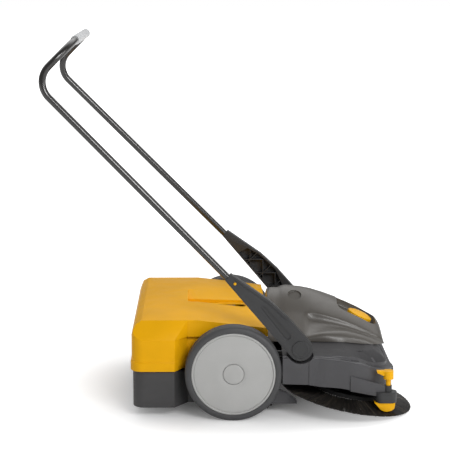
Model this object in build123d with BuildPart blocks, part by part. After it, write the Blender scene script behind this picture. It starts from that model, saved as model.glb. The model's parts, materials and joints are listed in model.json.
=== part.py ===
from build123d import *
from math import acos, atan2, cos, degrees, pi, radians, sin, tan
import os

# A push sweeper: two driven disc brushes throw the dirt back into a lift-out hopper between the wheels.
# Millimetres. X runs forward, Y to the machine's left, Z up; the floor is Z = 0.
os.makedirs("parts", exist_ok=True)

SIDES = (("right", -1), ("left", 1))

# Driving dimensions
wall = 3.0
axle_x = 6.5
axle_z = 135.0
tyre_radius = 135.0
tyre_outer_y = 333.0
tyre_width = 47.0
disc_radius = 117.0
axle_radius = 8.0
shaft_radius = 6.0
running_gap = 0.05
plate_near_y = 262.0
plate_far_y = 268.0

brush_x = 330.6
brush_y = 193.0
brush_radius = 191.5
brush_tilt = radians(11)
brush_z = brush_radius * sin(brush_tilt) + 0.5
spindle_length = 118.0
drive_height = 95.0

teeth_pinion = 14
teeth_gear = 21
cone_length = 30.3
face_width = 9.0

wheel_pulley_radius = 44.0
lay_pulley_radius = 22.0
roller_pulley_radius = 14.0
belt_gap = 0.3
belt_thickness = 3.0

dust_roller_x = 92.0
dust_roller_z = 44.0
dust_roller_radius = 40.0

base_rear_x = 143.0
base_front_x = 461.0
base_half_width = 335.0
guard_radius = 138.0
arm_near_y = 297.0
arm_far_y = 325.0
pivot_x = 192.5
pivot_z = 204.0
boss_radius = 33.0
ledge_x = 317.0
ledge_z = 187.0
fender_x = 370.0
fender_z = 177.0

tube_radius = 10.0
socket_x = -8.5
socket_z = 404.0
socket_y = 309.0
bend_x = -533.4
bend_y = 275.0
bend_z = 939.0
bend_radius = 60.0
crossbar_x = -427.5
crossbar_y = 262.0
crossbar_z = 1045.0
corner_radius = 88.0

dial_x = 385.5
dial_z = 212.0
dial_tilt = radians(24)
dial_radius = 38.0

presser_x = 437.0
presser_y = -325.0

support_x = 440.0
support_radius = 15.0

# Frames: each plane's own X axis is the axis that its pieces are turned about
spindle_dir = Vector(sin(brush_tilt), 0, cos(brush_tilt))
lay_x = brush_x + drive_height * sin(brush_tilt)
lay_z = brush_z + drive_height * cos(brush_tilt)


def cross_frame(sign, x, z):
    """Frame of a crosswise shaft: its X axis points outwards on the named side."""
    return Plane(origin=(x, 0, z), x_dir=(0, sign, 0), z_dir=(1, 0, 0))


def spindle_frame(sign):
    """Frame of a disc brush: its X axis points up along the tilted spindle."""
    return Plane(origin=(brush_x, sign * brush_y, brush_z), x_dir=spindle_dir, z_dir=(0, 1, 0))


def upright_frame(x, y):
    """Frame of an upright axis, with X pointing up."""
    return Plane(origin=(x, y, 0), x_dir=(0, 0, 1), z_dir=(0, 1, 0))


def side_slab(sign, near, far):
    """Sketch plane in X and Z: extruding it by far - near fills |Y| = near to far on one side."""
    y = far if sign > 0 else -near
    return Plane(origin=(0, y, 0), x_dir=(1, 0, 0), z_dir=(0, -1, 0))


def ring(start, end, inner, outer):
    """Corners (along, radius) of a plain ring."""
    return [(start, inner), (end, inner), (end, outer), (start, outer)]


def turned(frame, *outlines):
    """Solid turned about the frame's X axis from outlines of (along, radius) points."""
    with BuildPart() as piece:
        for outline in outlines:
            with BuildSketch(frame):
                with BuildLine():
                    Polyline(*outline, close=True)
                make_face()
            revolve(axis=Axis(frame.origin, frame.x_dir))
    return piece


def write(piece, label):
    piece.part.label = label
    export_step(piece.part, f"parts/{label}.step")


def taut_loop(x1, z1, r1, x2, z2, r2):
    """Outline of a belt round two circles: two tangents and two arcs."""
    span = ((x2 - x1) ** 2 + (z2 - z1) ** 2) ** 0.5
    heading = atan2(z2 - z1, x2 - x1)
    lean = acos((r1 - r2) / span)

    def rim(x, z, r, angle):
        return (x + r * cos(angle), z + r * sin(angle))

    with BuildLine() as loop:
        Line(rim(x1, z1, r1, heading + lean), rim(x2, z2, r2, heading + lean))
        ThreePointArc(
            rim(x2, z2, r2, heading + lean),
            rim(x2, z2, r2, heading),
            rim(x2, z2, r2, heading - lean),
        )
        Line(rim(x2, z2, r2, heading - lean), rim(x1, z1, r1, heading - lean))
        ThreePointArc(
            rim(x1, z1, r1, heading - lean),
            rim(x1, z1, r1, heading + pi),
            rim(x1, z1, r1, heading + lean),
        )
    return loop.line


def belt(sign, near, far, first, second):
    """Flat belt round two pulleys, each given as (x, z, radius)."""
    plane = side_slab(sign, near, far)
    with BuildPart() as piece:
        with BuildSketch(plane):
            for extra, mode in ((belt_gap + belt_thickness, Mode.ADD), (belt_gap, Mode.SUBTRACT)):
                with BuildLine():
                    add(taut_loop(first[0], first[1], first[2] + extra,
                                  second[0], second[1], second[2] + extra))
                make_face(mode=mode)
        extrude(amount=far - near)
    return piece


def bevel_gear(frame, teeth, mate, bore, turn=0.0):
    """Straight bevel gear. The frame's origin is the cones' common apex and the gear lies on its +Z side."""
    pitch_cone = atan2(teeth, mate)
    root_cone = pitch_cone - radians(4.6)
    tip_cone = pitch_cone + radians(3.4)
    inner = (cone_length - face_width) * cos(pitch_cone)
    outer = cone_length * cos(pitch_cone)
    tooth_pitch = 2 * pi * tan(pitch_cone) / teeth
    with BuildPart() as tooth:
        for height in (inner, outer):
            root = height * (tan(root_cone) - 0.03)
            tip = height * tan(tip_cone)
            foot = 0.26 * tooth_pitch * height
            crest = 0.10 * tooth_pitch * height
            with BuildSketch(frame.offset(height)):
                with Locations(Rotation(0, 0, turn)):
                    Polygon((root, -foot), (tip, -crest), (tip, crest), (root, foot), align=None)
        loft()
    with BuildPart() as gear:
        for height in (inner, outer):
            with BuildSketch(frame.offset(height)):
                Circle(height * tan(root_cone))
        loft()
        for index in range(teeth):
            add(tooth.part.rotate(Axis(frame.origin, frame.z_dir), 360 * index / teeth))
        with BuildSketch(frame.offset(inner)):
            Circle(bore)
        extrude(amount=outer - inner, mode=Mode.SUBTRACT)
    return gear


# --- Wheels -----------------------------------------------------------------------------------
tyre_inner_y = tyre_outer_y - tyre_width
for side, sign in SIDES:
    wheel_frame = cross_frame(sign, axle_x, axle_z)

    shoulder = 7.0
    tread = turned(
        wheel_frame,
        [
            (tyre_inner_y, disc_radius - 5),
            (tyre_outer_y - 5, disc_radius - 5),
            (tyre_outer_y - 5, disc_radius),
            (tyre_outer_y, disc_radius),
            (tyre_outer_y, tyre_radius - shoulder),
            (tyre_outer_y - 2.5, tyre_radius - 2.0),
            (tyre_outer_y - shoulder, tyre_radius),
            (tyre_inner_y + shoulder, tyre_radius),
            (tyre_inner_y + 2.5, tyre_radius - 2.0),
            (tyre_inner_y, tyre_radius - shoulder),
        ],
    )
    write(tread, f"{side}_tyre")

    hub_radius = 22.0
    cap_seat = 26.0
    wheel_disc = turned(
        wheel_frame,
        ring(tyre_inner_y + 2, tyre_outer_y - 2, disc_radius - 8, disc_radius - 5),
        ring(tyre_outer_y - 5, tyre_outer_y - 2, cap_seat - 4, disc_radius),
        ring(tyre_inner_y + 2, tyre_outer_y - 2, hub_radius, cap_seat),
        ring(tyre_inner_y + 2, tyre_outer_y - 16, axle_radius + running_gap, hub_radius),
    )
    write(wheel_disc, f"{side}_wheel_disc")

    cap_radius = 28.0
    hub_cap = turned(
        wheel_frame,
        ring(tyre_outer_y - 2, tyre_outer_y - 0.3, 0, cap_radius),
        ring(tyre_outer_y - 10, tyre_outer_y - 2, 0, hub_radius - 0.2),
    )
    write(hub_cap, f"{side}_hub_cap")

    pulley_flange = wheel_pulley_radius + 4
    wheel_pulley = turned(
        wheel_frame,
        ring(270, 286, axle_radius + running_gap, wheel_pulley_radius),
        ring(286, tyre_inner_y + 2, axle_radius + running_gap, hub_radius),
        ring(270, 271, wheel_pulley_radius, pulley_flange),
        ring(277, 277.8, wheel_pulley_radius, pulley_flange),
        ring(285, 286, wheel_pulley_radius, pulley_flange),
    )
    write(wheel_pulley, f"{side}_wheel_pulley")

with BuildPart() as stub_axles:
    for side, sign in SIDES:
        add(turned(cross_frame(sign, axle_x, axle_z), ring(plate_near_y - 3.5, plate_near_y, 0, 14),
                   ring(plate_near_y, 322, 0, axle_radius)).part)
write(stub_axles, "stub_axles")

with BuildPart() as axle_clips:
    for side, sign in SIDES:
        add(turned(cross_frame(sign, axle_x, axle_z), ring(317.3, 319.3, axle_radius, 13)).part)
write(axle_clips, "axle_clips")

# --- Drive from each wheel to its disc brush ---------------------------------------------------
for side, sign in SIDES:
    lay_frame = cross_frame(sign, lay_x, lay_z)
    apex = (lay_x, sign * brush_y, lay_z)
    pinion_frame = Plane(origin=apex, x_dir=spindle_dir, z_dir=(0, sign, 0))
    gear_frame = Plane(origin=apex, x_dir=(0, sign, 0), z_dir=spindle_dir)
    spindle = spindle_frame(sign)

    write(bevel_gear(pinion_frame, teeth_pinion, teeth_gear, shaft_radius), f"{side}_bevel_pinion")
    write(
        bevel_gear(gear_frame, teeth_gear, teeth_pinion, axle_radius, 180 / teeth_gear),
        f"{side}_bevel_gear",
    )

    lay_shaft = turned(lay_frame, ring(brush_y + 17.8, 287, 0, shaft_radius))
    write(lay_shaft, f"{side}_drive_shaft")

    lay_pulley = turned(
        lay_frame,
        ring(276.6, 286, shaft_radius, lay_pulley_radius),
        ring(276.6, 277.8, lay_pulley_radius, lay_pulley_radius + 4),
        ring(285, 286, lay_pulley_radius, lay_pulley_radius + 4),
    )
    write(lay_pulley, f"{side}_drive_pulley")

    drive_belt = belt(
        sign, 278.4, 284.4,
        (axle_x, axle_z, wheel_pulley_radius),
        (lay_x, lay_z, lay_pulley_radius),
    )
    write(drive_belt, f"{side}_drive_belt")

    # Disc brush
    write(turned(spindle, ring(16, spindle_length, 0, axle_radius)), f"{side}_brush_spindle")
    brush_plate = turned(
        spindle,
        ring(18, 25, axle_radius, 114),
        ring(25, 36, axle_radius, 20),
        ring(25, 30, 108, 114),
    )
    write(brush_plate, f"{side}_brush_plate")
    bristles = turned(
        spindle,
        [(10, 96), (18, 96), (18, 114), (9, 150), (5, brush_radius), (0, brush_radius)],
    )
    write(bristles, f"{side}_brush_bristles")

    # Bearing bracket of the spindle and of the drive shaft's inner end
    with BuildPart() as bearing_bracket:
        add(turned(spindle, ring(38, 68, axle_radius + running_gap, 18)).part)
        with BuildSketch(side_slab(sign, brush_y + 5, plate_near_y)):
            with Locations((brush_x + 12, 92)):
                Rectangle(44, 8)
        extrude(amount=plate_near_y - brush_y - 5)
        with BuildSketch(side_slab(sign, 230, 238)):
            with Locations((lay_x, (lay_z + 92) / 2)):
                Rectangle(26, lay_z - 92 + 26)
        extrude(amount=8)
        with BuildSketch(side_slab(sign, 225, 243)):
            with Locations((lay_x, lay_z)):
                Circle(shaft_radius + running_gap)
        extrude(amount=18, mode=Mode.SUBTRACT)
        add(turned(spindle, ring(30, 80, 0, axle_radius + running_gap)).part, mode=Mode.SUBTRACT)
    write(bearing_bracket, f"{side}_bearing_bracket")

# --- Fine-dust roller at the hopper's mouth ----------------------------------------------------
roller_frame = cross_frame(1, dust_roller_x, dust_roller_z)
write(turned(roller_frame, ring(-269, 277, 0, shaft_radius)), "dust_roller_shaft")
dust_roller_core = turned(
    roller_frame,
    ring(-246, 246, 26, 30),
    ring(-246, -240, shaft_radius, 26),
    ring(240, 246, shaft_radius, 26),
)
write(dust_roller_core, "dust_roller_core")
write(turned(roller_frame, ring(-246, 246, 30, dust_roller_radius)), "dust_roller_bristles")
roller_pulley = turned(
    roller_frame,
    ring(270.4, 277, shaft_radius, roller_pulley_radius),
    ring(270.4, 271.2, roller_pulley_radius, roller_pulley_radius + 3.5),
    ring(276.4, 277, roller_pulley_radius, roller_pulley_radius + 3.5),
)
write(roller_pulley, "dust_roller_pulley")
roller_belt = belt(
    1, 271.6, 276.2,
    (axle_x, axle_z, wheel_pulley_radius),
    (dust_roller_x, dust_roller_z, roller_pulley_radius),
)
write(roller_belt, "dust_roller_belt")

# --- Side plates: they carry the stub axles, the drive shafts and the dust roller ---------------
for side, sign in SIDES:
    with BuildPart() as side_plate:
        with BuildSketch(side_slab(sign, plate_near_y, plate_far_y)):
            with BuildLine():
                Polyline(
                    (-58, 95), (40, 30), (187, 30), (187, 36), (183, 44), (157, 63), (142, 70),
                    (120, 80), (120, 112), (lay_x + 22, 112), (lay_x + 22, 165),
                    (ledge_x, ledge_z - wall), (20, ledge_z - wall), (-58, 165), close=True,
                )
            make_face()
            with Locations((axle_x, axle_z)):
                Circle(axle_radius, mode=Mode.SUBTRACT)
            with Locations((dust_roller_x, dust_roller_z), (lay_x, lay_z)):
                Circle(shaft_radius + running_gap, mode=Mode.SUBTRACT)
            with Locations((100, 140), (210, 148), (280, 148)):
                Circle(20, mode=Mode.SUBTRACT)
        extrude(amount=plate_far_y - plate_near_y)
    write(side_plate, f"{side}_side_plate")

# --- Base housing ------------------------------------------------------------------------------
corner_x = base_front_x - guard_radius
corner_y = base_half_width - guard_radius


def base_plan(inset, rear):
    """Plan outline: straight sides, and front corners concentric with the disc brushes' guards."""
    half = base_half_width - inset
    front = base_front_x - inset
    radius = guard_radius - inset
    bend = radius * cos(pi / 4)
    with BuildLine() as outline:
        Polyline((corner_x, -half), (rear, -half), (rear, half), (corner_x, half))
        ThreePointArc((corner_x, half), (corner_x + bend, corner_y + bend), (front, corner_y))
        Line((front, corner_y), (front, -corner_y))
        ThreePointArc((front, -corner_y), (corner_x + bend, -corner_y - bend), (corner_x, -half))
    return outline.line


def base_form(inset, rear, low_drop):
    """Solid of the housing's outer form, moved in by inset on every face but the open underside."""
    with BuildPart() as form:
        with BuildSketch():
            with BuildLine():
                add(base_plan(inset, rear))
            make_face()
        extrude(amount=240)
        with BuildSketch(side_slab(1, -400, 400)):
            with BuildLine():
                Polyline(
                    (100, 106 - low_drop), (220, 103 - low_drop), (316, 93 - low_drop),
                    (403, 66 - low_drop), (480, 62 - low_drop), (461 - inset, 80),
                    (453 - inset, 137), (447 - inset, 166 - inset), (fender_x, fender_z - inset),
                    (ledge_x, ledge_z - inset), (100, ledge_z - inset), close=True,
                )
            make_face()
        extrude(amount=800, mode=Mode.INTERSECT)
    return form


def boss_pocket(sign, inset, depth):
    """Recess in the housing's side for the handle arm: round below the pivot, open above and behind."""
    reach = boss_radius + 7 + inset
    with BuildPart() as pocket:
        with BuildSketch(side_slab(sign, depth, 360)):
            with BuildLine():
                Line((pivot_x + reach, 300), (pivot_x + reach, pivot_z))
                ThreePointArc(
                    (pivot_x + reach, pivot_z),
                    (pivot_x, pivot_z - reach),
                    (pivot_x - reach * cos(pi / 4), pivot_z - reach * sin(pi / 4)),
                )
                Polyline(
                    (pivot_x - reach * cos(pi / 4), pivot_z - reach * sin(pi / 4)),
                    (80, pivot_z + 66), (80, 300), (pivot_x + reach, 300),
                )
            make_face()
        extrude(amount=360 - depth)
    return pocket


pocket_floor_y = 293.5
ear_thickness = 6.0
ear_radius = 24.0
ear_foot_z = 160.0
screw_radius = 2.5
screw_places = [(x, y) for x in (155, 280) for y in (-150, 150)]
dial_dir = Vector(sin(dial_tilt), 0, cos(dial_tilt))
with BuildPart() as base_housing:
    add(base_form(0, base_rear_x, 0).part)
    for side, sign in SIDES:
        add(boss_pocket(sign, 0, pocket_floor_y).part, mode=Mode.SUBTRACT)
    with BuildPart(mode=Mode.PRIVATE) as hollow:
        add(base_form(wall, base_rear_x - 20, 40).part)
        for side, sign in SIDES:
            add(boss_pocket(sign, wall, pocket_floor_y - wall).part, mode=Mode.SUBTRACT)
    add(hollow.part, mode=Mode.SUBTRACT)
    # Upright ears behind the pockets carry the handle's pivot pins
    for side, sign in SIDES:
        with BuildSketch(side_slab(sign, pocket_floor_y - ear_thickness, pocket_floor_y)):
            with Locations((pivot_x, (pivot_z + ear_foot_z) / 2)):
                Rectangle(2 * ear_radius, pivot_z - ear_foot_z)
            with Locations((pivot_x, pivot_z)):
                Circle(ear_radius)
        extrude(amount=ear_thickness)
        with BuildSketch(side_slab(sign, 280, 300)):
            with Locations((pivot_x, pivot_z)):
                Circle(axle_radius)
        extrude(amount=20, mode=Mode.SUBTRACT)
    with BuildSketch(Plane.XY.offset(ledge_z - 10)):
        with Locations(*screw_places):
            Circle(screw_radius)
    extrude(amount=20, mode=Mode.SUBTRACT)
write(base_housing, "base_housing")

with BuildPart() as pivot_pins:
    for side, sign in SIDES:
        pin_frame = cross_frame(sign, pivot_x, pivot_z)
        add(turned(pin_frame, ring(283.5, pocket_floor_y - ear_thickness, 0, 14),
                   ring(pocket_floor_y - ear_thickness, 321, 0, axle_radius)).part)
write(pivot_pins, "pivot_pins")

# --- Hood --------------------------------------------------------------------------------------
# Sections of the hood: X, then (half width, height) of the seam, the side bulge, the hollow above it,
# the ridge, the shoulder and the crest
hood_sections = (
    (112, (195, 187.2), (180, 198), (146, 221), (100, 250), (48, 290), (0, 305)),
    (165, (195, 187.2), (180, 198), (146, 221), (100, 253), (48, 296), (0, 311)),
    (212, (195, 187.2), (179, 199), (141, 224), (100, 253), (48, 293), (0, 307)),
    (235, (195, 187.2), (180, 208), (118, 218), (103, 252), (50, 288), (0, 302)),
    (275, (195, 187.2), (178, 212), (120, 215), (107, 245), (55, 275), (0, 288)),
    (317, (188, 187.2), (170, 212), (121, 211), (110, 233), (66, 256), (0, 270)),
    (370, (176, 177.2), (155, 201), (121, 196), (109, 213), (72, 232), (0, 245)),
    (410, (163, 171.4), (142, 186), (117, 184), (105, 197), (68, 214), (0, 225)),
    (447, (140, 166.2), (124, 172), (108, 174), (92, 182), (58, 190), (0, 196)),
)


def hood_form(inset):
    """Solid of the hood: a crowned middle, hollowed flanks and two low bulges along the seam."""
    with BuildPart() as form:
        for low, high in zip(hood_sections, hood_sections[1:]):
            with BuildPart() as segment:
                for x, *half in (low, high):
                    if inset and x == hood_sections[0][0]:
                        x += inset
                    if inset and x == hood_sections[-1][0]:
                        x -= inset
                    corners = [(y - inset * 1.2 if y else 0, z - inset) for y, z in half]
                    corners[0] = (half[0][0] - inset * 1.2, half[0][1])
                    mirrored = [(-y, z) for y, z in corners[:-1]]
                    with BuildSketch(Plane.YZ.offset(x)):
                        with BuildLine():
                            Polyline(*corners, *reversed(mirrored), close=True)
                        make_face()
                loft(ruled=True)
            add(segment.part)
    return form


dial_frame = Plane(origin=(dial_x, 0, dial_z), x_dir=dial_dir, z_dir=(0, 1, 0))
recess_plane = Plane(origin=(dial_x - 18, 0, dial_z + 8), x_dir=(0, 1, 0), z_dir=dial_dir)
recess_length = 132.0
recess_width = 146.0

with BuildPart() as hood:
    add(hood_form(0).part)
    add(hood_form(wall).part, mode=Mode.SUBTRACT)
    with BuildPart(mode=Mode.PRIVATE) as liner:
        with BuildSketch(recess_plane.offset(-wall)):
            RectangleRounded(recess_width + 2 * wall, recess_length + 2 * wall, 33)
        extrude(amount=60)
        add(hood_form(0).part, mode=Mode.INTERSECT)
    add(liner.part)
    with BuildSketch(recess_plane):
        RectangleRounded(recess_width, recess_length, 30)
    extrude(amount=80, mode=Mode.SUBTRACT)
    add(turned(dial_frame, ring(-20, 40, 0, shaft_radius + running_gap)).part, mode=Mode.SUBTRACT)
    with BuildPart(mode=Mode.PRIVATE) as posts:
        with BuildSketch(Plane.XY.offset(ledge_z + 0.2)):
            with Locations(*screw_places):
                Circle(7)
        extrude(amount=90)
        add(hood_form(1).part, mode=Mode.INTERSECT)
    add(posts.part)
    with BuildSketch(Plane.XY.offset(ledge_z)):
        with Locations(*screw_places):
            Circle(screw_radius)
    extrude(amount=14, mode=Mode.SUBTRACT)
write(hood, "hood")

# --- Height dial and front support roller ------------------------------------------------------
height_dial = turned(
    dial_frame,
    ring(4, 16, 0, dial_radius),
    [(16, 0), (16, dial_radius), (20, dial_radius - 6), (22, 0)],
    ring(-24, 4, 0, shaft_radius),
)
write(height_dial, "height_dial")

with BuildPart() as support_fork:
    with BuildSketch(Plane.XY.offset(33)):
        with Locations((support_x, 0)):
            Rectangle(20, 50)
    extrude(amount=5)
    for sign in (-1, 1):
        with BuildSketch(side_slab(sign, 21, 25)):
            with Locations((support_x, 22)):
                Rectangle(14, 32)
        extrude(amount=4)
    with BuildSketch(side_slab(1, -30, 30)):
        with Locations((support_x, support_radius)):
            Circle(3)
    extrude(amount=60, mode=Mode.SUBTRACT)
    with BuildSketch(Plane.XY.offset(38)):
        with Locations((support_x, 0)):
            Circle(7)
    extrude(amount=92)
write(support_fork, "support_fork")

support_frame = cross_frame(1, support_x, support_radius)
write(turned(support_frame, ring(-26, 26, 0, 3)), "support_pin")
write(turned(support_frame, ring(-20, 20, 3 + running_gap, support_radius)), "support_roller")

with BuildPart() as support_guide:
    with BuildSketch(Plane.XY.offset(70)):
        with Locations((support_x, 0)):
            Rectangle(22, 34)
            Circle(7 + running_gap, mode=Mode.SUBTRACT)
    extrude(amount=40)
    with BuildSketch(Plane.XY.offset(100)):
        with Locations((support_x + 7, 0)):
            Rectangle(20, 90)
        with Locations((support_x, 0)):
            Circle(7 + running_gap, mode=Mode.SUBTRACT)
    extrude(amount=6)
    add(base_form(wall, base_rear_x, 40).part, mode=Mode.INTERSECT)
write(support_guide, "support_guide")

# --- Handle ------------------------------------------------------------------------------------
def arm_outline():
    """Side outline of a handle arm, from the tube's socket down to the round boss."""
    toe = boss_radius
    with BuildLine() as outline:
        Polyline(
            (pivot_x - toe * cos(radians(40)), pivot_z - toe * sin(radians(40))),
            (145, 208), (76.5, 289), (-16.5, 400), (0, 416), (106.5, 341), (157, 294),
            (pivot_x + toe * cos(radians(38)), pivot_z + toe * sin(radians(38))),
        )
        ThreePointArc(
            (pivot_x + toe * cos(radians(38)), pivot_z + toe * sin(radians(38))),
            (pivot_x + toe * cos(radians(-50)), pivot_z + toe * sin(radians(-50))),
            (pivot_x - toe * cos(radians(40)), pivot_z - toe * sin(radians(40))),
        )
    return outline.line


def tube_points(sign):
    """Corner points of one half of the tube, from inside the arm to the crossbar's corner."""
    slope = Vector(socket_x - bend_x, sign * (socket_y - bend_y), socket_z - bend_z).normalized()
    start = Vector(socket_x, sign * socket_y, socket_z) + slope * 45
    return [
        start,
        Vector(bend_x, sign * bend_y, bend_z),
        Vector(crossbar_x, sign * crossbar_y, crossbar_z),
    ]


button_x = 10.5
button_z = 391.0
button_radius = 4.0
rib_nodes = ((70, 324), (111, 280), (150, 239))
rib_length = 84.0
path_points = tube_points(-1) + tube_points(1)[::-1]
with BuildPart() as handle_tube:
    with BuildLine() as tube_path:
        FilletPolyline(*path_points, radius=[bend_radius, corner_radius, corner_radius, bend_radius])
    with BuildSketch(Plane(origin=path_points[0], z_dir=path_points[1] - path_points[0])):
        Circle(tube_radius)
        Circle(tube_radius - 1.5, mode=Mode.SUBTRACT)
    sweep()
    for side, sign in SIDES:
        with BuildSketch(side_slab(sign, socket_y, arm_far_y)):
            with Locations((button_x, button_z)):
                Circle(button_radius + running_gap)
        extrude(amount=arm_far_y - socket_y, mode=Mode.SUBTRACT)
write(handle_tube, "handle_tube")

grip_frame = cross_frame(1, crossbar_x, crossbar_z)
write(turned(grip_frame, ring(-172, 172, tube_radius, tube_radius + 3)), "handle_grip")

for side, sign in SIDES:
    start, corner, _ = tube_points(sign)
    with BuildPart() as arm:
        with BuildSketch(side_slab(sign, arm_near_y, arm_far_y)):
            with BuildLine():
                add(arm_outline())
            make_face()
        extrude(amount=arm_far_y - arm_near_y)
        # The inner side is hollow below the socket, with crossed ribs
        with BuildSketch(side_slab(sign, arm_near_y, arm_far_y - wall)):
            with BuildLine():
                Polyline((62, 362), (100, 340), (150, 293), (174, 240), (150, 212), (82, 291), (34, 346),
                         close=True)
            make_face()
        extrude(amount=arm_far_y - wall - arm_near_y, mode=Mode.SUBTRACT)
        with BuildPart(mode=Mode.PRIVATE) as ribs:
            with BuildSketch(side_slab(sign, arm_near_y + 1, arm_far_y)):
                for x, z in rib_nodes:
                    with Locations(Location((x, z), 0), Location((x, z), 90), Location((x, z), 44)):
                        Rectangle(rib_length, 2)
            extrude(amount=arm_far_y - arm_near_y - 1)
            with BuildSketch(side_slab(sign, arm_near_y, arm_far_y)):
                with BuildLine():
                    add(arm_outline())
                make_face()
            extrude(amount=arm_far_y - arm_near_y, mode=Mode.INTERSECT)
        add(ribs.part)
        with BuildSketch(Plane(origin=start, z_dir=corner - start)):
            Circle(tube_radius + running_gap)
        extrude(amount=120, mode=Mode.SUBTRACT)
        with BuildSketch(side_slab(sign, socket_y, arm_far_y + 1)):
            with Locations((button_x, button_z)):
                Circle(button_radius + running_gap)
        extrude(amount=arm_far_y + 1 - socket_y, mode=Mode.SUBTRACT)
        with BuildSketch(side_slab(sign, arm_near_y, 321.5)):
            with Locations((pivot_x, pivot_z)):
                Circle(axle_radius + running_gap)
        extrude(amount=321.5 - arm_near_y, mode=Mode.SUBTRACT)
    write(arm, f"{side}_handle_arm")

    arm_cap = turned(cross_frame(sign, pivot_x, pivot_z), ring(arm_far_y, arm_far_y + 3, 0, 25))
    write(arm_cap, f"{side}_arm_cap")

    button = turned(
        cross_frame(sign, button_x, button_z),
        ring(socket_y + 3, arm_far_y + 3, 0, button_radius),
    )
    write(button, f"{side}_snap_button")

# --- Hopper ------------------------------------------------------------------------------------
hopper_rear_x = -280.5
hopper_side_y = 310.0
hopper_top_y = 270.0
hopper_inner_y = 255.0
hopper_seam_z = 137.0
crest_z = 288.0
crest_edge_y = 120.0
crest_edge_z = 284.0
bevel_top_z = 273.5
bevel_foot_z = 226.0
roof_bend_x = -95.0
roof_fall = 23.5


def hopper_plan(inset, narrow, front):
    """Plan outline: wide behind the wheels, then slanting in to pass between them."""
    rear = hopper_rear_x + inset
    side_y = hopper_side_y - inset
    narrow_y = narrow - inset
    corner = 34.0
    with BuildLine() as outline:
        FilletPolyline((-157, -side_y), (rear, -side_y), (rear, side_y), (-157, side_y), radius=corner)
        Polyline((-157, side_y), (-121, narrow_y), (front, narrow_y), (front, -narrow_y),
                 (-121, -narrow_y), (-157, -side_y))
    return outline.line


def hopper_roof(inset):
    """Solid under the cover's crowned top, level to the rear and falling towards the front."""
    with BuildPart() as roof:
        stations = ((-400, 0), (roof_bend_x, 0), (104, roof_fall))
        for low, high in zip(stations, stations[1:]):
            with BuildPart() as segment:
                for x, drop in (low, high):
                    edge = hopper_side_y - inset
                    crown = hopper_top_y - inset
                    with BuildSketch(Plane.YZ.offset(x)):
                        with BuildLine():
                            Polyline(
                                (-edge, 100), (-edge, bevel_foot_z - drop),
                                (-crown, bevel_top_z - drop - inset),
                                (-crest_edge_y, crest_edge_z - drop - inset),
                                (0, crest_z - drop - inset), (crest_edge_y, crest_edge_z - drop - inset),
                                (crown, bevel_top_z - drop - inset), (edge, bevel_foot_z - drop),
                                (edge, 100), close=True,
                            )
                        make_face()
                loft(ruled=True)
            add(segment.part)
    return roof


def hopper_form(inset):
    """Solid of the cover: bevelled top over a narrower lower part between the side plates."""
    with BuildPart() as upper:
        with BuildSketch(Plane.XY.offset(bevel_foot_z)):
            with BuildLine():
                add(hopper_plan(inset, hopper_top_y, 104 - inset))
            make_face()
        extrude(amount=80)
    with BuildPart() as lower:
        with BuildSketch(Plane.XY.offset(hopper_seam_z)):
            with BuildLine():
                add(hopper_plan(inset, hopper_inner_y, 48 - inset))
            make_face()
        extrude(amount=100)
    with BuildPart() as form:
        add(upper.part)
        add(lower.part)
        with BuildSketch(side_slab(1, -400, 400)):
            with BuildLine():
                Polyline(
                    (-320, hopper_seam_z), (hopper_rear_x + inset, 236 - inset),
                    (-270 + inset, 262 - inset), (-252 + inset, 274 - inset), (-200, crest_z - inset),
                    (104, crest_z - inset), (104, hopper_seam_z), close=True,
                )
            make_face()
        extrude(amount=800, mode=Mode.INTERSECT)
        add(hopper_roof(inset).part, mode=Mode.INTERSECT)
    return form


grip_z = 262.0
step_y = -15.0
recess_far_y = 56.0
recess_near_y = -97.0
recess_middle = (-38, (recess_far_y + recess_near_y) / 2)
recess_size = (170, recess_far_y - recess_near_y)
# Across the recess its floor rises from the step to the far rim: (X, height at the step, at the rim)
recess_stations = ((-150, 272.5, 286.5), (roof_bend_x, 272.5, 286.5), (104, 265.5, 264.5))


def recess_band(section):
    """Solid between the recess's stations, from a function that gives each one's corners (Y, Z)."""
    with BuildPart() as band:
        for low, high in zip(recess_stations, recess_stations[1:]):
            with BuildPart() as segment:
                for x, step_z, rim_z in (low, high):
                    with BuildSketch(Plane.YZ.offset(x)):
                        with BuildLine():
                            Polyline(*section(step_z, rim_z), close=True)
                        make_face()
                loft(ruled=True)
            add(segment.part)
    return band


def over_floor(step_z, rim_z):
    return [(recess_near_y - 20, grip_z), (step_y, grip_z), (step_y, step_z), (recess_far_y, rim_z),
            (recess_far_y, 330), (recess_near_y - 20, 330)]


def under_floor(step_z, rim_z):
    return [(step_y + wall, 200), (step_y + wall, step_z - wall), (recess_far_y + 4, rim_z - wall),
            (recess_far_y + 4, 200)]


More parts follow.
